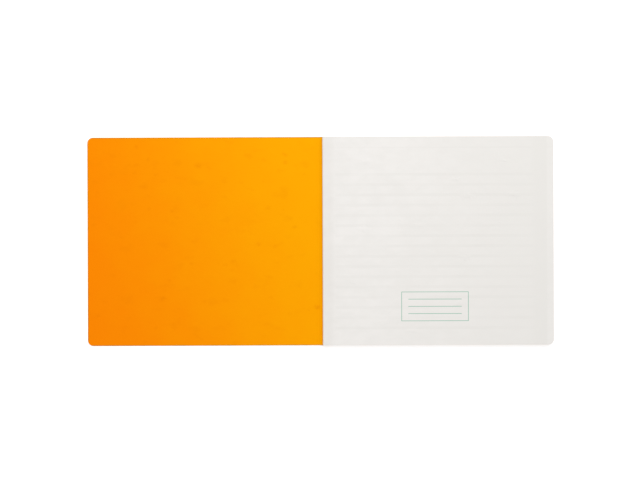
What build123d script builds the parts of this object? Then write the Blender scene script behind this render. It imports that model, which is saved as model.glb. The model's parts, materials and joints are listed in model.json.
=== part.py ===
from build123d import *
from math import cos, radians, sin, sqrt
import os

# Stapled exercise book, lying open at its first page. Millimetres.
# X runs across the open book, from the front cover's outer edge to the pages' outer edge.
# Y runs along the spine, towards the head of the page. Z is up from the table.
# The origin is on the table, under the crease line of the front cover, at mid height of the page.

# Driving dimensions
book_width = 210.0          # closed book, from the staple crowns to the fore edge
book_height = 188.0         # along the spine
corner_radius = 5.0         # rounded fore edge corners of covers and leaves
sheet_count = 12            # folded sheets, two leaves each
paper_thickness = 0.13
leaf_gap = 0.04             # air between one leaf and the next, and between leaf and cover
cover_thickness = 0.45
wire_diameter = 0.5
staple_crown = 13.0         # outside length of a staple on the back of the spine
staple_clench = 4.6         # length of each leg folded down in the centre fold
staple_offset = 47.5        # each staple's distance from mid height of the page
wire_bend_radius = 0.4      # centre line of the wire at its four bends
wire_clearance = 0.05       # round the wire, in its holes and against the fold
turning_clearance = 0.3     # between what turns and what the staples hold
crease_clearance = 0.05     # from the crease line to the front cover's upright edge
cover_lip_angle = 30.0      # how far the card wraps past the staple line, in degrees

# Radii about the fold line, from the centre fold outwards
wire_radius = wire_diameter / 2
leaf_pitch = paper_thickness + leaf_gap
centre_fold_radius = wire_radius + wire_clearance
block_radius = centre_fold_radius + (sheet_count - 1) * leaf_pitch + paper_thickness
cover_inner_radius = block_radius + leaf_gap
cover_outer_radius = cover_inner_radius + cover_thickness
crown_outer_radius = cover_outer_radius + wire_clearance + wire_diameter

# The fold line of the sheets. The front cover's crease line is at x = 0, at the same height.
fold_x = crown_outer_radius
fold_z = cover_outer_radius
# A turned leaf clears the front cover's upright edge, and the bends stay inside the turning roots
leaf_root_reach = fold_x + crease_clearance + cover_thickness + turning_clearance
fold_end_radius = leaf_root_reach - turning_clearance
hole_radius = wire_radius + wire_clearance
leg_spread = staple_crown - wire_diameter
leaf_count = 2 * sheet_count


def along_spine(section):
    """Section drawn in X and Z about the fold line, run along the whole spine."""
    return Pos(fold_x, 0, fold_z) * extrude(section, book_height / 2, both=True)


def staple_holes():
    """Rods where the four staple legs pierce the card and the sheets."""
    rods = []
    for staple_y in (staple_offset, -staple_offset):
        for side in (1, -1):
            rod = Cylinder(hole_radius, fold_x, align=(Align.CENTER, Align.CENTER, Align.MIN))
            leg_y = staple_y + side * leg_spread / 2
            rods.append(Pos(0, leg_y, fold_z) * Rot(0, 90, 0) * rod)
    return rods


def leaf_height(number):
    """Height of a leaf's underside above the fold line. Leaf 1 is the top one."""
    if number <= sheet_count:
        return centre_fold_radius + (sheet_count - number) * leaf_pitch
    return -centre_fold_radius - (number - sheet_count - 1) * leaf_pitch - paper_thickness


def leaf(number):
    """One leaf, from just outside the folds to the fore edge."""
    root_x = fold_x + leaf_root_reach
    outline = Rectangle(book_width - root_x, book_height)
    outline = fillet(outline.vertices().group_by(Axis.X)[-1], corner_radius)
    middle = Pos((root_x + book_width) / 2, 0, fold_z + leaf_height(number))
    return middle * extrude(outline, paper_thickness)


def sheet_fold(number):
    """The bend of one sheet, a U round the sheets inside it. Sheet 1 is the outer one."""
    inner = centre_fold_radius + (sheet_count - number) * leaf_pitch
    outer = inner + paper_thickness
    end = sqrt(fold_end_radius**2 - outer**2)
    outline = make_face([
        ThreePointArc((0, outer), (-outer, 0), (0, -outer)),
        Polyline((0, -outer), (end, -outer), (end, -inner), (0, -inner)),
        ThreePointArc((0, -inner), (-inner, 0), (0, inner)),
        Polyline((0, inner), (end, inner), (end, outer), (0, outer)),
    ])
    return along_spine(Plane.XZ * outline) - staple_holes()


def round_fore_edge(card, outer_x):
    """Round the two corners of a cover at its outer edge."""
    uprights = card.edges().filter_by(Axis.Z).group_by(Axis.X)
    return fillet(uprights[-1 if outer_x > 0 else 0], corner_radius)


def front_cover():
    """The half of the card that opens: flat on the table, then up beside the spine to the crease."""
    face_x = -crease_clearance
    back_x = face_x - cover_thickness
    lip_top = fold_z - wire_radius - turning_clearance
    bend = cover_thickness
    outline = make_face([
        Line((-book_width, 0), (face_x - bend, 0)),
        RadiusArc((face_x - bend, 0), (face_x, bend), -bend),
        Polyline(
            (face_x, bend),
            (face_x, lip_top),
            (back_x, lip_top),
            (back_x, cover_thickness),
            (-book_width, cover_thickness),
            (-book_width, 0),
        ),
    ])
    card = extrude(Plane.XZ * outline, book_height / 2, both=True)
    return round_fore_edge(card, -book_width)


def back_cover():
    """The other half of the card, with its wrap round the spine past the staple line."""
    lip = radians(180 - cover_lip_angle)
    mid = radians(225 - cover_lip_angle / 2)
    outer_lip = (cover_outer_radius * cos(lip), cover_outer_radius * sin(lip))
    inner_lip = (cover_inner_radius * cos(lip), cover_inner_radius * sin(lip))
    outer_mid = (cover_outer_radius * cos(mid), cover_outer_radius * sin(mid))
    inner_mid = (cover_inner_radius * cos(mid), cover_inner_radius * sin(mid))
    fore_edge = book_width - fold_x
    outline = make_face([
        ThreePointArc(outer_lip, outer_mid, (0, -cover_outer_radius)),
        Polyline(
            (0, -cover_outer_radius),
            (fore_edge, -cover_outer_radius),
            (fore_edge, -cover_inner_radius),
            (0, -cover_inner_radius),
        ),
        ThreePointArc((0, -cover_inner_radius), inner_mid, inner_lip),
        Line(inner_lip, outer_lip),
    ])
    card = along_spine(Plane.XZ * outline)
    return round_fore_edge(card, book_width) - staple_holes()


def staple(staple_y):
    """Wire staple: crown behind the spine, legs through the folds, clenched in the centre fold."""
    crown_x = wire_radius
    near = staple_y - leg_spread / 2
    far = staple_y + leg_spread / 2
    path = FilletPolyline(
        (fold_x, near + staple_clench, fold_z),
        (fold_x, near, fold_z),
        (crown_x, near, fold_z),
        (crown_x, far, fold_z),
        (fold_x, far, fold_z),
        (fold_x, far - staple_clench, fold_z),
        radius=wire_bend_radius,
    )
    start = Plane(path @ 0, z_dir=path % 0)
    return sweep(start * Circle(wire_radius), path)


nodes = {
    "front_cover": front_cover(),
    "back_cover": back_cover(),
    "upper_staple": staple(staple_offset),
    "lower_staple": staple(-staple_offset),
}
for number in range(1, sheet_count + 1):
    nodes[f"sheet_{number:02d}_fold"] = sheet_fold(number)
for number in range(1, leaf_count + 1):
    nodes[f"leaf_{number:02d}"] = leaf(number)

os.makedirs("parts", exist_ok=True)
for name, solid in nodes.items():
    export_step(solid, f"parts/{name}.step")
print("nodes", len(nodes))
print("fold line at x", round(fold_x, 3), "z", round(fold_z, 3))
print("top page at z", round(fold_z + block_radius, 3))
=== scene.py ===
import json
import math
import bpy
import numpy as np
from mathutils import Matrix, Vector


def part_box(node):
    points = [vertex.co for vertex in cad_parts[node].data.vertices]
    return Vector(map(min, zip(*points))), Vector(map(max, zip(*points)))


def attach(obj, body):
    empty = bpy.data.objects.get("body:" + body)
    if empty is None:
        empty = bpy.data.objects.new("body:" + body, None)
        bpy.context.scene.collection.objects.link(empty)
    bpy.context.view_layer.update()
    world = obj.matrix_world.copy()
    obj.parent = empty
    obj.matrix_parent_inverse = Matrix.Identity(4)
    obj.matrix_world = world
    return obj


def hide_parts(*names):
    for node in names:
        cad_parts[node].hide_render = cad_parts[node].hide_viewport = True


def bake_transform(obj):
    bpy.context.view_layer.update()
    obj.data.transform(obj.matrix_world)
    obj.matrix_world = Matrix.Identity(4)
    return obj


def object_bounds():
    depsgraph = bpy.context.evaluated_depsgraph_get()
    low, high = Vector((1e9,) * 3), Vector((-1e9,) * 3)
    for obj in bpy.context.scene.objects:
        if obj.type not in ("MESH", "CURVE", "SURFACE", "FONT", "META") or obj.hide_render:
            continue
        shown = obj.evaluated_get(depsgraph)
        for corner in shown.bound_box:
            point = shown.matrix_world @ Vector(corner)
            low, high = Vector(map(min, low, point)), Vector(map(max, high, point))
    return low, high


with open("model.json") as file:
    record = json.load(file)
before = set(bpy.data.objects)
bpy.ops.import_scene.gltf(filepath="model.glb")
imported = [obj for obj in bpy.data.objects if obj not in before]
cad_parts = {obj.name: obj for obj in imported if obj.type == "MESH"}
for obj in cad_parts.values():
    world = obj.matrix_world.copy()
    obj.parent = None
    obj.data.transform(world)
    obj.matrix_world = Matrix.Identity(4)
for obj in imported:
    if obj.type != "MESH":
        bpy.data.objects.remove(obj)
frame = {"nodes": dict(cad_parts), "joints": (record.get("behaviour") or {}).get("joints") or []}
cadLow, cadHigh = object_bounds()
mm = 0.001
sharpAngle = math.radians(35.0)     # an edge bent by more than this is shaded as sharp
noiseCore = (0.35, 0.65)            # where most values of a noise lie
noiseBody = (0.3, 0.7)              # where nearly all of them lie
rng = np.random.default_rng(21)

# Names and lines of the book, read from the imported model
leafNames = sorted(name for name in frame["nodes"] if name.startswith("leaf_"))
bendNames = sorted(name for name in frame["nodes"] if name.endswith("_fold"))
stapleNames = sorted(name for name in frame["nodes"] if name.endswith("_staple"))
joints = {joint["name"]: joint for joint in frame["joints"]}
foldPlace = joints["leaf_01_turn"]["pos_m"]
foldX = foldPlace[0]
foldZ = foldPlace[2]
foreEdge = cadHigh.x                # the open cover reaches as far the other way
halfHeight = cadHigh.y
print("book of", len(leafNames), "leaves, fold line at", foldX, foldZ)


# Smoothstep: three t squared less two t cubed, with t held between 0 and 1
def ease(t):
    t = np.clip(t, 0.0, 1.0)
    return t * t * (3.0 - 2.0 * t)


# Heights along the spine: even steps between the corners, then equal angles round each corner arc.
# Also how far the outer edge draws in at each height: the radius less the radius times the cosine
def edgeRows(radius, flatRows, arcRows):
    angles = np.linspace(0.0, math.pi / 2, arcRows)[1:]
    flat = np.linspace(radius - halfHeight, halfHeight - radius, flatRows)
    head = halfHeight - radius + radius * np.sin(angles)
    drawn = radius - radius * np.cos(angles)
    heights = np.concatenate([-head[::-1], flat, head])
    return heights, np.concatenate([drawn[::-1], np.zeros(flatRows), drawn])


# Quads of a grid whose points are stored row by row from an offset: each point with its neighbours
# in the next column and the next row
def gridQuads(rows, columns, offset):
    corner = np.arange(rows * columns).reshape(rows, columns) + offset
    quads = [corner[:-1, :-1], corner[:-1, 1:], corner[1:, 1:], corner[1:, :-1]]
    return np.stack(quads, axis=-1).reshape(-1, 4)


# Points and faces as a smooth mesh object at the origin
def meshPiece(name, points, faces, material):
    mesh = bpy.data.meshes.new(name)
    mesh.from_pydata(points.tolist(), [], faces)
    mesh.materials.append(material)
    mesh.polygons.foreach_set("use_smooth", np.ones(len(mesh.polygons), bool))
    mesh.set_sharp_from_angle(angle=sharpAngle)
    mesh.update()
    piece = bpy.data.objects.new(name, mesh)
    bpy.context.scene.collection.objects.link(piece)
    return piece


# The place of each point at rest, kept with the mesh for patterns that bend with it
def storeRestPlace(piece, points):
    attribute = piece.data.attributes.new("restPlace", "FLOAT_VECTOR", "POINT")
    attribute.data.foreach_set("vector", points.astype(np.float32).ravel())


# A closed sheet: two facing grids of points, upper and lower, joined by quads round the rim.
# The attribute upperFace is 1 on the upper grid and 0 on the lower one
def sheetPiece(name, upper, lower, material, rimMaterial=None):
    rows, columns = upper.shape[:2]
    count = rows * columns
    points = np.concatenate([upper.reshape(-1, 3), lower.reshape(-1, 3)])
    index = np.arange(count).reshape(rows, columns)
    rim = np.concatenate([index[0, :-1], index[:-1, -1], index[-1, :0:-1], index[:0:-1, 0]])
    ahead = np.roll(rim, -1)
    sides = np.stack([rim, rim + count, ahead + count, ahead], axis=-1)
    upperQuads = gridQuads(rows, columns, 0)
    lowerQuads = gridQuads(rows, columns, count)[:, ::-1]
    faces = np.concatenate([upperQuads, lowerQuads, sides])
    piece = meshPiece(name, points, faces.tolist(), material)
    upperFace = np.concatenate([np.ones(count), np.zeros(count)]).astype(np.float32)
    attribute = piece.data.attributes.new("upperFace", "FLOAT", "POINT")
    attribute.data.foreach_set("value", upperFace)
    storeRestPlace(piece, points)
    if rimMaterial is not None:
        piece.data.materials.append(rimMaterial)
        slots = np.zeros(len(faces), np.int32)
        slots[-len(sides):] = 1
        piece.data.polygons.foreach_set("material_index", slots)
    return piece


# Adds a node, sets its properties, then gives each named or numbered input a value or a link
def addNode(tree, kind, inputs=None, **settings):
    node = tree.nodes.new(kind)
    for key, value in settings.items():
        setattr(node, key, value)
    for key, value in (inputs or {}).items():
        if isinstance(value, bpy.types.NodeSocket):
            tree.links.new(value, node.inputs[key])
        else:
            node.inputs[key].default_value = value
    return node


# One operation on one, two or three numbers
def calc(tree, operation, *values):
    return addNode(tree, "ShaderNodeMath", dict(enumerate(values)), operation=operation).outputs[0]


# One operation on two vectors, or SCALE for a vector times a number
def vectorCalc(tree, operation, first, second):
    inputs = {0: first, "Scale" if operation == "SCALE" else 1: second}
    return addNode(tree, "ShaderNodeVectorMath", inputs, operation=operation).outputs[0]


# Value carried from one range to another along a smoothstep, and held at the ends
def remap(tree, value, low, high, toLow, toHigh):
    inputs = {"Value": value, 1: low, 2: high, 3: toLow, 4: toHigh}
    node = addNode(tree, "ShaderNodeMapRange", inputs, interpolation_type="SMOOTHSTEP")
    return node.outputs["Result"]


# Noise of a given grain length in metres: the place divided by the length, and by the stretch too
# along X, then moved by the offset
def grain(tree, coords, length, detail=3.0, stretch=1.0, offset=0.0):
    scale = (1.0 / (length * stretch), 1.0 / length, 1.0 / length)
    inputs = {"Vector": coords, "Scale": scale, "Location": (offset, offset, offset)}
    place = addNode(tree, "ShaderNodeMapping", inputs).outputs[0]
    inputs = {"Vector": place, "Scale": 1.0, "Detail": detail, "Roughness": 0.55}
    return addNode(tree, "ShaderNodeTexNoise", inputs).outputs["Fac"]


# Two colours mixed: the first at factor 0, the second at factor 1
def mixColour(tree, factor, first, second):
    inputs = {0: factor, 6: first, 7: second}       # numbers of the Mix node's colour sockets
    return addNode(tree, "ShaderNodeMix", inputs, data_type="RGBA").outputs[2]


# A material with its node tree, its Principled shader, and Object coordinates, or the place at rest
# of a piece that bends, so that the pattern bends with it
def newMaterial(name, roughness, specular, bends=False):
    material = bpy.data.materials.new(name)
    material.use_nodes = True
    tree = material.node_tree
    shader = tree.nodes["Principled BSDF"]
    shader.inputs["Roughness"].default_value = roughness
    shader.inputs["Specular IOR Level"].default_value = specular
    if bends:
        coords = addNode(tree, "ShaderNodeAttribute", attribute_name="restPlace").outputs["Vector"]
    else:
        coords = addNode(tree, "ShaderNodeTexCoord").outputs["Object"]
    return material, tree, shader, coords


# Gives a shader its colour, a roughness between two values that follows a noise, and bumps one upon
# another, each from a height between 0 and 1 and its depth in metres
def finishShader(tree, shader, colour, noise, roughness, bumps):
    tree.links.new(colour, shader.inputs["Base Color"])
    tree.links.new(remap(tree, noise, *noiseBody, *roughness), shader.inputs["Roughness"])
    normal = None
    for height, depth in bumps:
        inputs = {"Height": height, "Distance": depth, "Strength": 1.0}
        if normal is not None:
            inputs["Normal"] = normal
        normal = addNode(tree, "ShaderNodeBump", inputs).outputs[0]
    tree.links.new(normal, shader.inputs["Normal"])


softSpots = {
    "waves": 6.0,                   # waves of the outline's noise in one spacing
    "waveReach": 0.3,               # how far they bend the outline, in spacings
    "emptyBelow": 0.35,             # a cell whose random number is below this has next to no spot
    "rimStart": -1.1,               # outer end of a spot's soft rim, in sizes
    "rimEnd": 0.95,                 # inner end of it
}


# Soft spots: one at the middle of each Voronoi cell, its radius from minus one size to one size by
# the cell's own random number, so that about half of the cells stay nearly empty. The mask rises
# along a smoothstep with the radius less the distance, and noise bends the outlines
def spotMask(tree, coords, spacing, size, stretch, turn=0.0):
    look = softSpots
    inputs = {"Vector": coords, "Scale": look["waves"] / spacing, "Detail": 3.0}
    waves = addNode(tree, "ShaderNodeTexNoise", inputs).outputs["Color"]
    waves = vectorCalc(tree, "SUBTRACT", waves, (0.5, 0.5, 0.5))
    waves = vectorCalc(tree, "SCALE", waves, look["waveReach"] * spacing)
    bent = vectorCalc(tree, "ADD", coords, waves)
    inputs = {"Vector": bent, "Scale": (1.0 / stretch, 1.0, 1.0), "Rotation": (0.0, 0.0, turn)}
    turned = addNode(tree, "ShaderNodeMapping", inputs).outputs[0]
    inputs = {"Vector": turned, "Scale": 1.0 / spacing}
    cells = addNode(tree, "ShaderNodeTexVoronoi", inputs, voronoi_dimensions="2D").outputs
    chance = addNode(tree, "ShaderNodeSeparateColor", {"Color": cells["Color"]}).outputs[0]
    radius = remap(tree, chance, look["emptyBelow"], 1.0, -size, size)
    near = calc(tree, "SUBTRACT", radius, cells["Distance"])
    return remap(tree, near, look["rimStart"] * size, look["rimEnd"] * size, 0.0, 1.0)


coverCard = {
    "thickness": 0.45 * mm,
    "ridgeX": 2.45 * mm,            # the fold of the card, beside the folded sheets
    "ridgeDrop": 1.64 * mm,         # middle of the card at its fold, below the fold line of the sheets
    "toeX": -1.5 * mm,              # where the front half reaches the table
    "heelX": foldX + 10.0 * mm,     # where the back half reaches the table
    "cornerRadius": 5.0 * mm,
    "cornerFade": 3,                # power by which a corner's arc fades away from the outer edge
    "rows": (30, 8),                # between the corners, round each corner
    "columns": (46, 26, 30, 46),    # front half, rise to the fold, fall from it, back half
    # painted light: the shaded and the lit ends of the card's orange; the lit golden orange is also the
    # colour of the core's layers
    "deepOrange": (0.995, 0.236, 0.0, 1.0),
    "goldenOrange": (0.995, 0.418, 0.0, 1.0),
    "toneStart": -0.245,            # painted light: from the shaded deep orange to the lit golden orange along X, in metres
    "toneEnd": 0.105,
    "toneLean": 0.33,               # metres along X for one along the spine, so the painted light is also lighter towards +Y
    "toneDrift": 0.06,              # how far the mottle moves it
    "mottle": 26.0 * mm,
    "mottleDepth": 0.25 * mm,
    "fleckOrange": (0.78, 0.19, 0.0, 1.0),
    # Spacing, size as a share of it, and strength, of the larger flecks and of the smaller ones
    "fleckCells": ((23.0 * mm, 0.085, 0.34), (13.0 * mm, 0.10, 0.22)),
    "fleckShift": (0.36, 0.13),     # where in the pattern the upper face lies
    "fleckTurn": 0.6,               # turns the rows of cells away from the card's sides
    "fleckStretch": 1.33,
    "fleckClusters": 38.0 * mm,
    "clusterSpan": (0.4, 0.58),     # values of their noise from sparse to full
    "fleckSparse": 0.15,            # strength left between the clusters
    "smudge": 12.0 * mm,
    "smudgeSpan": (0.56, 0.74),     # values of their noise from none to full
    "smudgeStrength": 0.11,
    # painted shade along the crease, where the card folds beside the sheets
    "creaseOrange": (0.50, 0.17, 0.01, 1.0),
    "creaseStrength": 0.3,
    "creaseHalf": (0.2 * mm, 0.9 * mm),     # half widths of the painted shade line and of its soft rim
    # darkened edge strip: partly handling wear, partly painted edge shade
    "handledOrange": (0.40, 0.20, 0.02, 1.0),
    "handledEdge": 1.3 * mm,        # width of the darkened strip along the outer edges
    "handledStrength": 0.75,
    "handledPatches": 9.0 * mm,
    "handledLeast": 0.55,           # strength left between the patches
    "sheenOrange": (1.0, 0.5, 0.05, 1.0),
    "fibre": 0.35 * mm,
    "fibreDepth": 0.012 * mm,
    "roughness": (0.44, 0.58),
    "coreOrange": (0.93, 0.36, 0.05, 1.0),
    "coreLayer": 0.12 * mm,
    "coreDepth": 0.02 * mm,
    "coreRoughness": (0.7, 0.9),
}


# Painted light: shaded deep orange to lit golden orange along a smoothstep of x plus a lean times y,
# moved by the mottle, so the card is lighter towards +X and +Y
def cardPaintedLight(tree, axes, mottle):
    look = coverCard
    slope = calc(tree, "MULTIPLY_ADD", axes["Y"], look["toneLean"], axes["X"])
    drift = calc(tree, "MULTIPLY_ADD", mottle, look["toneDrift"], slope)
    tone = remap(tree, drift, look["toneStart"], look["toneEnd"], 0.0, 1.0)
    return mixColour(tree, tone, look["deepOrange"], look["goldenOrange"])


# Soft smudges from a noise, and flecks in two sizes that gather in clusters. The upper face reads
# another stretch of the pattern than the lower one: the place plus upperFace times a shift
def cardFlecks(tree, coords, colour):
    look = coverCard
    upper = addNode(tree, "ShaderNodeAttribute", attribute_name="upperFace").outputs["Fac"]
    shiftX, shiftY = (calc(tree, "MULTIPLY", upper, shift) for shift in look["fleckShift"])
    shift = addNode(tree, "ShaderNodeCombineXYZ", {"X": shiftX, "Y": shiftY}).outputs[0]
    place = vectorCalc(tree, "ADD", coords, shift)
    smudge = grain(tree, place, look["smudge"], detail=2.0, stretch=look["fleckStretch"])
    smudge = remap(tree, smudge, *look["smudgeSpan"], 0.0, look["smudgeStrength"])
    colour = mixColour(tree, smudge, colour, look["fleckOrange"])
    clusters = grain(tree, place, look["fleckClusters"], detail=2.0)
    clusters = remap(tree, clusters, *look["clusterSpan"], look["fleckSparse"], 1.0)
    for spacing, size, strength in look["fleckCells"]:
        fleck = spotMask(tree, place, spacing, size, look["fleckStretch"], look["fleckTurn"])
        fleck = calc(tree, "MULTIPLY", calc(tree, "MULTIPLY", fleck, strength), clusters)
        colour = mixColour(tree, fleck, colour, look["fleckOrange"])
    return colour


# Painted shade: a darker line by the distance from the crease. A darkened strip by the distance from the
# nearest outer edge, stronger in patches: partly handling wear, partly painted edge shade
def cardWearAndShade(tree, axes, coords, colour):
    look = coverCard
    # painted shade: a dark line along the crease
    offCrease = calc(tree, "ABSOLUTE", calc(tree, "SUBTRACT", axes["X"], look["ridgeX"]))
    creaseShade = remap(tree, offCrease, *look["creaseHalf"], look["creaseStrength"], 0.0)
    colour = mixColour(tree, creaseShade, colour, look["creaseOrange"])
    # darkened strip along the outer edges: partly handling wear, partly painted edge shade
    offSide = calc(tree, "SUBTRACT", foreEdge, calc(tree, "ABSOLUTE", axes["X"]))
    offEnd = calc(tree, "SUBTRACT", halfHeight, calc(tree, "ABSOLUTE", axes["Y"]))
    offEdge = calc(tree, "MINIMUM", offSide, offEnd)
    edgeWearAndShade = remap(tree, offEdge, 0.0, look["handledEdge"], look["handledStrength"], 0.0)
    patches = grain(tree, coords, look["handledPatches"], detail=4.0, offset=0.7)
    patches = remap(tree, patches, *noiseCore, look["handledLeast"], 1.0)
    return mixColour(tree, calc(tree, "MULTIPLY", edgeWearAndShade, patches), colour, look["handledOrange"])


# Pressed card: its orange with painted light across it, flecks, a painted shade line at the crease and a
# darkened edge strip of wear and painted shade, with a broad mottle and a fine fibre grain as bumps
def cardOrange():
    look = coverCard
    material, tree, shader, coords = newMaterial("cardOrange", 0.5, 0.3, bends=True)
    shader.inputs["Specular Tint"].default_value = look["sheenOrange"]
    axes = addNode(tree, "ShaderNodeSeparateXYZ", {"Vector": coords}).outputs
    mottle = grain(tree, coords, look["mottle"], detail=4.0)
    fibre = grain(tree, coords, look["fibre"], stretch=3.0)
    # painted light across the card, lighter towards +X and +Y
    colour = cardPaintedLight(tree, axes, mottle)
    colour = cardFlecks(tree, coords, colour)
    colour = cardWearAndShade(tree, axes, coords, colour)
    bumps = [(mottle, look["mottleDepth"]), (fibre, look["fibreDepth"])]
    finishShader(tree, shader, colour, fibre, look["roughness"], bumps)
    return material


# The cut edge of the card: a paler core with layers of fibre along it, from a long drawn noise
def cardCore():
    look = coverCard
    material, tree, shader, coords = newMaterial("cardCore", 0.8, 0.15, bends=True)
    layer = grain(tree, coords, look["coreLayer"], stretch=14.0)
    tone = remap(tree, layer, *noiseCore, 0.0, 1.0)
    colour = mixColour(tree, tone, look["coreOrange"], look["goldenOrange"])
    finishShader(tree, shader, colour, layer, look["coreRoughness"], [(layer, look["coreDepth"])])
    return material


# Height of the middle of the card: half its thickness on the table, rising along a smoothstep from
# the toe to the ridge at the fold, and falling along another to the heel
def cardMiddle(x):
    look = coverCard
    onTable = look["thickness"] / 2
    rise = ease((x - look["toeX"]) / (look["ridgeX"] - look["toeX"]))
    fall = ease((x - look["ridgeX"]) / (look["heelX"] - look["ridgeX"]))
    return onTable + (foldZ - look["ridgeDrop"] - onTable) * (rise - fall)


# One card for both covers. Each face is half the thickness away from the middle, along its normal,
# and the outer corners are drawn in along arcs, less so further from the outer edge
def makeCoverCard():
    look = coverCard
    rows, drawn = edgeRows(look["cornerRadius"], *look["rows"])
    stops = (cadLow.x, look["toeX"], look["ridgeX"], look["heelX"], cadHigh.x)
    runs = zip(stops, stops[1:], look["columns"])
    columns = np.unique(np.concatenate([np.linspace(*run) for run in runs]))
    towardsEdge = (np.abs(columns) / foreEdge) ** look["cornerFade"]
    x = columns[None, :] - np.sign(columns)[None, :] * drawn[:, None] * towardsEdge[None, :]
    y = np.repeat(rows[:, None], len(columns), axis=1)
    slope = np.gradient(cardMiddle(columns), columns)
    normal = np.stack([-slope, np.zeros_like(slope), np.ones_like(slope)], axis=-1)
    normal = normal / np.linalg.norm(normal, axis=1, keepdims=True)
    middle = np.stack([x, y, cardMiddle(x)], axis=-1)
    aside = normal[None] * look["thickness"] / 2
    piece = sheetPiece("coverCard", middle + aside, middle - aside, cardOrange(), cardCore())
    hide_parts("front_cover", "back_cover")
    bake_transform(piece)
    return piece


pagePaper = {
    "gutterReach": 10.0 * mm,       # from the fold line to where a leaf lies flat
    "pressedShare": 0.55,           # share of the stack's height left where the staples press it
    "cornerRadius": 5.0 * mm,
    "trimSpread": 0.12 * mm,        # how unevenly the fore edges are cut
    "loft": 0.016 * mm,             # how far the paper fills the gap to the next leaf, each side
    "rows": (24, 8),                # between the corners, round each corner
    "columns": (18, 24),            # in the gutter, from there to the fore edge
    "bendRows": 9,
    "bendSteps": 17,
    "white": (0.885, 0.860, 0.832, 1.0),
    "shade": (0.815, 0.795, 0.762, 1.0),
    "shadeMost": 0.45,
    "shadeSpan": (0.55, 1.05),      # values of clouds and waves together from white to shade
    "cloud": 7.0 * mm,
    "cloudDepth": 0.02 * mm,
    "wave": 60.0 * mm,              # broad unevenness of the whole page
    "waveShare": 0.6,               # its part in the clouds' colour
    "waveDepth": 0.5 * mm,
    "dent": 17.0 * mm,              # spacing of the small dents
    "dentSize": 0.10,
    "dentStretch": 2.6,
    "dentDepth": 0.15 * mm,
    "fibre": 0.25 * mm,
    "fibreDepth": 0.01 * mm,
    "roughness": (0.7, 0.84),
    # painted shade near the fold line, warm
    "gutterShade": (0.74, 0.70, 0.64, 1.0),
    "gutterTint": 15.0 * mm,        # from the fold line to where its painted shade ends
    "gutterStrength": 0.48,         # twice the painted shade's share at the fold line
    "ruling": (0.42, 0.46, 0.56, 1.0),
    "rulingStrength": 0.6,
    "rulingPitch": 9.2 * mm,
    "rulingWidth": 0.32 * mm,
    "rulingPhase": 4.6 * mm,
    "rulingTop": 64.0 * mm,
    "rulingFoot": -82.0 * mm,
    "rulingGutter": 10.0 * mm,      # margin from the fold line
    "rulingFore": 6.5 * mm,         # margin from the fore edge
    "headingLine": 84.0 * mm,
    "inkSoft": 0.2 * mm,            # soft ends of printed lines
}
# The next page's ruling seen through the first, and painted shade on the ruled field towards the fore
# edge: shares of the paper's shade
seenThroughAndShade = {
    "lineWidth": 2.6 * mm,
    "lines": 0.4,
    "patch": 14.0 * mm,             # the lines come and go in patches
    "patchStretch": 3.5,
    "patchLeast": 0.3,
    "headingWidth": 1.4 * mm,
    "heading": 0.22,
    "field": 0.8,                   # at the outer end of the ruled field, from none at its inner end: partly the next page's field seen through, partly painted shade
    "strip": 0.3,                   # added in a strip there
    "stripSpan": (16.0 * mm, 6.0 * mm),     # where it starts and is full, inside that end
    "margin": 0.55,                 # part of both that goes on in the outer margin
    "marginSpan": (-0.7 * mm, 1.2 * mm),    # from the field to the margin, about that end
}
namePanel = {
    "middle": (103.0 * mm, -59.0 * mm),
    "half": (30.0 * mm, 13.0 * mm),
    "lineWidth": 0.5 * mm,
    "ruleStep": 6.5 * mm,
    "ruleHalf": (24.0 * mm, 8.0 * mm),      # half the width and height of the writing lines' field
    "green": (0.16, 0.46, 0.32, 1.0),
    "strength": 0.85,
}


# 1 inside a band of that width about zero, softened over a fifth of the width, else 0
def bandMask(tree, value, width):
    return remap(tree, calc(tree, "ABSOLUTE", value), 0.4 * width, 0.6 * width, 1.0, 0.0)


# 1 where low < value < high, else 0, with the soft ends of printed lines
def insideMask(tree, value, low, high):
    soft = pagePaper["inkSoft"]
    above = remap(tree, value, low - soft, low + soft, 0.0, 1.0)
    below = remap(tree, value, high - soft, high + soft, 1.0, 0.0)
    return calc(tree, "MULTIPLY", above, below)


# 1 between the margins beside the gutter and at the fore edge
def acrossMask(tree, axes):
    look = pagePaper
    return insideMask(tree, axes["X"], foldX + look["rulingGutter"], foreEdge - look["rulingFore"])


# Ruled lines: a band about each multiple of the pitch, kept between the margins
def rulingMask(tree, axes, width):
    look = pagePaper
    shifted = calc(tree, "ADD", axes["Y"], look["rulingPhase"])
    lines = bandMask(tree, calc(tree, "PINGPONG", shifted, look["rulingPitch"] / 2), width)
    tall = insideMask(tree, axes["Y"], look["rulingFoot"], look["rulingTop"])
    return calc(tree, "MULTIPLY", lines, calc(tree, "MULTIPLY", tall, acrossMask(tree, axes)))


# The line under the heading: a band about its height
def headingMask(tree, axes, width):
    return bandMask(tree, calc(tree, "SUBTRACT", axes["Y"], pagePaper["headingLine"]), width)


# A plain panel: a band where the larger of the distances past its sides is zero makes the frame,
# and bands about each multiple of a step from its middle make three writing lines
def panelMask(tree, axes):
    look = namePanel
    offX = calc(tree, "SUBTRACT", axes["X"], look["middle"][0])
    offY = calc(tree, "SUBTRACT", axes["Y"], look["middle"][1])
    pastX = calc(tree, "SUBTRACT", calc(tree, "ABSOLUTE", offX), look["half"][0])
    pastY = calc(tree, "SUBTRACT", calc(tree, "ABSOLUTE", offY), look["half"][1])
    border = bandMask(tree, calc(tree, "MAXIMUM", pastX, pastY), look["lineWidth"])
    rules = bandMask(tree, calc(tree, "PINGPONG", offY, look["ruleStep"] / 2), look["lineWidth"])
    ruleX, ruleY = look["ruleHalf"]
    within = insideMask(tree, offX, -ruleX, ruleX)
    within = calc(tree, "MULTIPLY", within, insideMask(tree, offY, -ruleY, ruleY))
    return calc(tree, "MAXIMUM", border, calc(tree, "MULTIPLY", rules, within))
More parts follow.
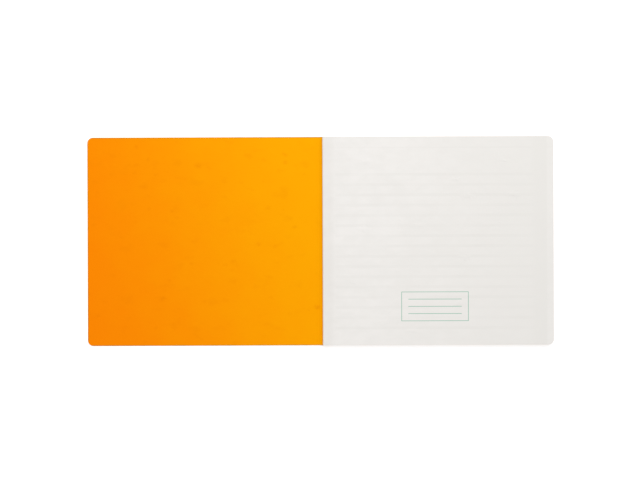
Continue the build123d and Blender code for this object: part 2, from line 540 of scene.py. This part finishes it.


# What shows through from the next page: its ruled lines in patches or the line under its heading,
# whichever is stronger, plus a darkening of the ruled field that grows towards the fore edge and is
# less in the margin: partly the next page's field seen through, partly painted shade
def throughAndShadeMask(tree, axes, coords):
    look = seenThroughAndShade
    fieldStart = foldX + pagePaper["rulingGutter"]
    fieldEnd = foreEdge - pagePaper["rulingFore"]
    patches = grain(tree, coords, look["patch"], 2.0, look["patchStretch"], offset=0.3)
    patches = remap(tree, patches, *noiseCore, look["patchLeast"], 1.0)
    lines = calc(tree, "MULTIPLY", rulingMask(tree, axes, look["lineWidth"]), patches)
    lines = calc(tree, "MULTIPLY", lines, look["lines"])
    heading = calc(tree, "MULTIPLY", headingMask(tree, axes, look["headingWidth"]), look["heading"])
    # darker towards the fore edge: partly the next page's field seen through, partly painted shade
    field = remap(tree, axes["X"], fieldStart, fieldEnd, 0.0, look["field"])
    stripStart, stripEnd = (fieldEnd - inside for inside in look["stripSpan"])
    strip = remap(tree, axes["X"], stripStart, stripEnd, 0.0, look["strip"])
    marginStart, marginEnd = (fieldEnd + past for past in look["marginSpan"])
    margin = remap(tree, axes["X"], marginStart, marginEnd, 1.0, look["margin"])
    field = calc(tree, "MULTIPLY", calc(tree, "ADD", field, strip), margin)
    return calc(tree, "ADD", field, calc(tree, "MAXIMUM", lines, heading))


# Uncoated paper: soft clouds from its making, painted warm shade that fades from the fold line, a fine
# fibre grain, small dents, and ruled lines on both faces. The first page's upper face has no lines of its
# own: the next page's ruling shows through it, with painted shade over its ruled field, and it has the
# name panel
def paperMaterial(name, firstPage):
    look = pagePaper
    material, tree, shader, coords = newMaterial(name, 0.75, 0.2)
    axes = addNode(tree, "ShaderNodeSeparateXYZ", {"Vector": coords}).outputs
    cloud = grain(tree, coords, look["cloud"], detail=4.0, stretch=1.8)
    wave = grain(tree, coords, look["wave"], detail=2.0)
    fibre = grain(tree, coords, look["fibre"], stretch=2.0)
    dent = spotMask(tree, coords, look["dent"], look["dentSize"], look["dentStretch"])
    tone = calc(tree, "MULTIPLY_ADD", wave, look["waveShare"], cloud)
    tone = remap(tree, tone, *look["shadeSpan"], 0.0, look["shadeMost"])
    colour = mixColour(tree, tone, look["white"], look["shade"])
    # painted shade: warm and darker near the fold line, fading over the reach
    tint = look["gutterTint"]
    gutter = remap(tree, axes["X"], foldX - tint, foldX + tint, look["gutterStrength"], 0.0)
    colour = mixColour(tree, gutter, colour, look["gutterShade"])
    heading = headingMask(tree, axes, look["rulingWidth"])
    heading = calc(tree, "MULTIPLY", heading, acrossMask(tree, axes))
    lines = calc(tree, "MAXIMUM", rulingMask(tree, axes, look["rulingWidth"]), heading)
    if firstPage:
        upper = addNode(tree, "ShaderNodeAttribute", attribute_name="upperFace").outputs["Fac"]
        lines = calc(tree, "MULTIPLY", lines, calc(tree, "SUBTRACT", 1.0, upper))
        throughAndShade = calc(tree, "MULTIPLY", throughAndShadeMask(tree, axes, coords), upper)
        colour = mixColour(tree, throughAndShade, colour, look["shade"])
        panel = calc(tree, "MULTIPLY", panelMask(tree, axes), upper)
        panel = calc(tree, "MULTIPLY", panel, namePanel["strength"])
        colour = mixColour(tree, panel, colour, namePanel["green"])
    lines = calc(tree, "MULTIPLY", lines, look["rulingStrength"])
    colour = mixColour(tree, lines, colour, look["ruling"])
    bumps = [(wave, look["waveDepth"]), (dent, look["dentDepth"])]
    bumps += [(cloud, look["cloudDepth"]), (fibre, look["fibreDepth"])]
    finishShader(tree, shader, colour, fibre, look["roughness"], bumps)
    return material


# Share of the stack's height at a distance from the fold line: the pressed share at the fold,
# rising along a smoothstep to 1 where the leaves lie flat
def pressedAt(distance):
    pressed = pagePaper["pressedShare"]
    return pressed + (1.0 - pressed) * ease(distance / pagePaper["gutterReach"])


# Heights of a leaf's faces above the fold line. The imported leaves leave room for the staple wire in
# the centre fold: here the stack is spread to close it, and each leaf is lofted to meet the next.
# The height less the wire's room is multiplied by the stack's height over that height less the
# room, and is at least a quarter of the loft
def leafFaces(name):
    low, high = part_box(name)
    loft = pagePaper["loft"]
    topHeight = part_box(leafNames[0])[1].z - foldZ
    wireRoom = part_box(leafNames[len(leafNames) // 2 - 1])[0].z - foldZ
    heights = np.array([high.z - foldZ + loft, low.z - foldZ - loft])
    spread = (np.abs(heights) - wireRoom) * topHeight / (topHeight - wireRoom)
    return np.sign(heights) * np.maximum(spread, loft / 4)


# A leaf: a flat sheet at its own height above the fold line, times the pressed share at each
# distance from the fold, with its outer corners drawn in along arcs
def makeLeaf(name, material):
    look = pagePaper
    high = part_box(name)[1]
    upperHeight, lowerHeight = leafFaces(name)
    rows, drawn = edgeRows(look["cornerRadius"], *look["rows"])
    trim = rng.uniform(-look["trimSpread"], 0.0)
    gutterShare = look["gutterReach"] / (high.x - foldX)
    gutterColumns, flatColumns = look["columns"]
    gutter = np.linspace(0.0, gutterShare, gutterColumns)[:-1]
    share = np.concatenate([gutter, np.linspace(gutterShare, 1.0, flatColumns)])
    outer = high.x + trim - drawn
    x = foldX + (outer[:, None] - foldX) * share[None, :]
    y = np.repeat(rows[:, None], len(share), axis=1)
    press = pressedAt(x - foldX)
    upper = np.stack([x, y, foldZ + upperHeight * press], axis=-1)
    lower = np.stack([x, y, foldZ + lowerHeight * press], axis=-1)
    piece = sheetPiece(name.replace("leaf_", "page"), upper, lower, material)
    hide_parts(name)
    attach(piece, name)
    return piece


# The bend of a sheet: half a turn about the fold line, at the pressed heights of its upper leaf
def makeBend(name, material):
    look = pagePaper
    low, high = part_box(name)
    number = name.split("_")[1]
    outerRadius, innerRadius = leafFaces("leaf_" + number) * look["pressedShare"]
    angles = np.linspace(math.pi / 2, 3 * math.pi / 2, look["bendSteps"])
    rows = np.linspace(low.y, high.y, look["bendRows"])
    y = np.repeat(rows[:, None], len(angles), axis=1)
    turn = np.stack([np.cos(angles), np.zeros_like(angles), np.sin(angles)], axis=-1)[None]
    centre = np.stack([np.full_like(y, foldX), y, np.full_like(y, foldZ)], axis=-1)
    outer = centre + outerRadius * turn
    inner = centre + innerRadius * turn
    piece = sheetPiece("bend" + number, outer, inner, material)
    piece.data.flip_normals()
    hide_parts(name)
    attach(piece, "book_back")
    return piece


stapleWire = {
    "radius": 0.25 * mm,
    "crown": 13.0 * mm,
    "clench": 4.6 * mm,
    "bend": 0.45 * mm,
    "clenchOff": 0.1 * mm,          # clenched ends, off the fold line
    "crownX": 0.25 * mm,            # where the spine of the closed card is widest
    "sunk": 0.15 * mm,              # how far the crown presses into the card
    "thinned": 0.4,                 # share by which the hidden part of a leg is thinner
    "crownSqueeze": 0.33,           # share of the crown's width along X: the closing card widens it again
    "tip": 0.05,                    # share of the radius left at the cut ends
    "cardSteps": 12,
    "legSteps": 20,
    "bendSteps": 7,
    "sides": 12,
    "steel": (0.36, 0.36, 0.37, 1.0),
    "worn": (0.52, 0.52, 0.53, 1.0),
    "scratch": 0.12 * mm,
    "scratchDepth": 0.01 * mm,
    "roughness": (0.28, 0.45),
}


# Drawn wire: fine scratches along the wire in colour, roughness and bump, from one noise
def wireSteel():
    look = stapleWire
    material, tree, shader, coords = newMaterial("wireSteel", 0.35, 0.5, bends=True)
    shader.inputs["Metallic"].default_value = 1.0
    scratch = grain(tree, coords, look["scratch"], stretch=0.4)
    tone = remap(tree, scratch, *noiseCore, 0.0, 1.0)
    colour = mixColour(tree, tone, look["steel"], look["worn"])
    bumps = [(scratch, look["scratchDepth"])]
    finishShader(tree, shader, colour, scratch, look["roughness"], bumps)
    return material


# The line that a staple's leg follows in X and Z: from the centre fold to the fold of the card,
# inside the card to the crown's place, then straight out of its outer face. Also the depth of each
# point along it, and how far the crown is from the middle of the card
def legLine():
    look = stapleWire
    start = np.array([[foldX + look["clenchOff"], foldZ]])
    inCard = np.linspace(coverCard["ridgeX"], look["crownX"], look["cardSteps"])
    within = np.stack([inCard, cardMiddle(inCard)], axis=-1)
    slope = (within[-1] - within[-2]) / np.linalg.norm(within[-1] - within[-2])
    outwards = np.array([-slope[1], slope[0]])
    outside = coverCard["thickness"] / 2 + look["radius"] - look["sunk"]
    crown = within[-1:] + outwards[None] * outside
    line = np.concatenate([start, within, crown])
    depth = np.concatenate([[0.0], np.cumsum(np.linalg.norm(np.diff(line, axis=0), axis=1))])
    return line, depth, outside


# Points at given depths along a line, and the directions square to it there. Past either end, the
# line's first or last direction goes on
def alongLine(line, depth, at):
    step = np.diff(line, axis=0) / np.diff(depth)[:, None]
    span = np.clip(np.searchsorted(depth, at) - 1, 0, len(step) - 1)
    place = line[span] + step[span] * (at - depth[span])[..., None]
    return place, np.stack([-step[span][..., 1], step[span][..., 0]], axis=-1)


# A staple's middle line laid out flat, as distance along the spine and depth along the leg's line:
# a clenched end, a quarter circle, the leg, a quarter circle into the crown, then the same mirrored
def stapleLine(legDepth):
    look = stapleWire
    half = look["crown"] / 2 - look["radius"]
    bend = look["bend"]
    angles = np.linspace(0.0, math.pi / 2, look["bendSteps"])
    sideways = np.sin(angles) * bend + half - bend
    clench = np.array([[half - look["clench"], 0.0]])
    upperBend = np.stack([sideways, bend - bend * np.cos(angles)], axis=-1)
    legSteps = np.linspace(bend, legDepth - bend, look["legSteps"])[1:-1]
    leg = np.stack([np.full_like(legSteps, half), legSteps], axis=-1)
    lowerBend = np.stack([sideways[::-1], legDepth - bend + bend * np.sin(angles)], axis=-1)
    branch = np.concatenate([clench, upperBend, leg, lowerBend])
    return np.concatenate([branch, branch[::-1] * np.array([-1.0, 1.0])])


# A staple: a circle carried along its flat line and drawn in at both ends, then wrapped onto the
# leg's line. Its legs are thinner where sheets and card hide them, and its crown is narrow along X,
# where the closing card widens it
def makeStaple(name, material):
    look = stapleWire
    low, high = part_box(name)
    line, depth, outside = legLine()
    legDepth = depth[-1]
    bend = look["bend"]
    path = stapleLine(legDepth)
    tangent = np.gradient(path, axis=0)
    tangent = tangent / np.linalg.norm(tangent, axis=1, keepdims=True)
    path = np.concatenate([path[:1], path, path[-1:]])
    tangent = np.concatenate([tangent[:1], tangent, tangent[-1:]])
    across = np.stack([-tangent[:, 1], tangent[:, 0]], axis=-1)
    hidden = ease(path[:, 1] / bend - 1.0) * ease((legDepth - outside - path[:, 1]) / outside + 1.0)
    thick = look["radius"] * (1.0 - look["thinned"] * hidden)
    thick[[0, -1]] = look["radius"] * look["tip"]
    around = np.linspace(0.0, 2 * math.pi, look["sides"] + 1)[:-1]
    aside = thick[:, None] * np.cos(around)[None, :]
    upright = thick[:, None] * np.sin(around)[None, :]
    flat = path[:, None, :] + aside[:, :, None] * across[:, None, :]
    place, normal = alongLine(line, depth, flat[:, :, 1])
    section = place + normal * upright[:, :, None]
    middleX = section[:, :, 0].mean(axis=1, keepdims=True)
    inCrown = ease((path[:, 1:2] - legDepth + bend) / bend + 1.0)
    x = middleX + (section[:, :, 0] - middleX) * (1.0 - (1.0 - look["crownSqueeze"]) * inCrown)
    y = (low.y + high.y) / 2 + flat[:, :, 0]
    points = np.stack([x, y, section[:, :, 1]], axis=-1).reshape(-1, 3)
    index = np.arange(len(points)).reshape(x.shape)
    ahead = np.roll(index, -1, axis=1)
    quads = np.stack([index[:-1], index[1:], ahead[1:], ahead[:-1]], axis=-1).reshape(-1, 4)
    ends = [index[0].tolist(), index[-1][::-1].tolist()]
    faces = quads.tolist() + ends
    piece = meshPiece(name.replace("_staple", "StapleWire"), points, faces, material)
    storeRestPlace(piece, points)
    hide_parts(name)
    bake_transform(piece)
    return piece


studio = {
    "floorHalf": 12.0,
    "floorDrop": 0.2 * mm,          # below the card, so that the two never touch
    "floorColour": (0.86, 0.86, 0.86, 1.0),
    "floorLift": 0.44,              # its glow where it is seen
    "white": (1.0, 1.0, 1.0, 1.0),
    "worldStrength": 0.66,
    "keyPlace": (0.3, 1.2, 1.2),
    "keySize": 1.8,
    "keyPower": 19.0,
    "cameraPlace": (-0.25 * mm, 1.0 * mm, 1.30),
    "cameraRoll": -0.2,             # degrees
    "sensorWidth": 36.0,            # millimetres, as the camera's lens length is
    "imageWidth": 640,
    "pixelWidth": 0.903 * mm,       # on the table
}


# 1 for camera, glossy and transmission rays, else 0: the larger of the three
def seenRays(tree):
    path = addNode(tree, "ShaderNodeLightPath").outputs
    seen = calc(tree, "MAXIMUM", path["Is Camera Ray"], path["Is Glossy Ray"])
    return calc(tree, "MAXIMUM", seen, path["Is Transmission Ray"])


# A plain pale floor, one square: matt, with a glow where it is seen, which lifts it to white beside
# the shadow
def makeFloor():
    half = studio["floorHalf"]
    corners = np.array([[-half, -half], [half, -half], [half, half], [-half, half]])
    points = np.concatenate([corners, np.full((4, 1), -studio["floorDrop"])], axis=1)
    material, tree, shader, coords = newMaterial("floorWhite", 0.9, 0.0)
    shader.inputs["Base Color"].default_value = studio["floorColour"]
    shader.inputs["Emission Color"].default_value = studio["white"]
    glow = calc(tree, "MULTIPLY", seenRays(tree), studio["floorLift"])
    tree.links.new(glow, shader.inputs["Emission Strength"])
    floor = meshPiece("floor", points, [[0, 1, 2, 3]], material)


# An even white world, at full strength where it is seen, and a large soft lamp that points at the
# origin
def makeLight():
    world = bpy.data.worlds.new("studioWorld")
    world.use_nodes = True
    tree = world.node_tree
    background = tree.nodes["Background"]
    background.inputs["Color"].default_value = studio["white"]
    strength = remap(tree, seenRays(tree), 0.0, 1.0, studio["worldStrength"], 1.0)
    tree.links.new(strength, background.inputs["Strength"])
    bpy.context.scene.world = world
    lamp = bpy.data.lights.new("keyLight", "AREA")
    lamp.size = studio["keySize"]
    lamp.energy = studio["keyPower"]
    key = bpy.data.objects.new("keyLight", lamp)
    key.location = studio["keyPlace"]
    key.rotation_euler = (-key.location).to_track_quat("-Z", "Y").to_euler()
    bpy.context.scene.collection.objects.link(key)


# A camera that looks straight down. Its lens length is the sensor's width times the camera's height
# over the width of table that the image shows
def makeCamera():
    lens = bpy.data.cameras.new("photoCamera")
    lens.sensor_width = studio["sensorWidth"]
    tableWidth = studio["imageWidth"] * studio["pixelWidth"]
    lens.lens = lens.sensor_width * studio["cameraPlace"][2] / tableWidth
    camera = bpy.data.objects.new("photoCamera", lens)
    camera.location = studio["cameraPlace"]
    camera.rotation_euler = (0.0, 0.0, math.radians(studio["cameraRoll"]))
    bpy.context.scene.collection.objects.link(camera)
    bpy.context.scene.camera = camera


makeCoverCard()
print("cover card made")
ruledPaper = paperMaterial("ruledPaper", False)
firstPaper = paperMaterial("firstPaper", True)
for name in leafNames:
    isFirst = name == leafNames[0]
    page = makeLeaf(name, firstPaper if isFirst else ruledPaper)
print("pages made", len(leafNames))
for name in bendNames:
    makeBend(name, ruledPaper)
print("bends made", len(bendNames))
steel = wireSteel()
for name in stapleNames:
    makeStaple(name, steel)
print("staples made", len(stapleNames))
makeFloor()
makeLight()
makeCamera()
bpy.context.scene.view_settings.view_transform = "Standard"
print("studio made")
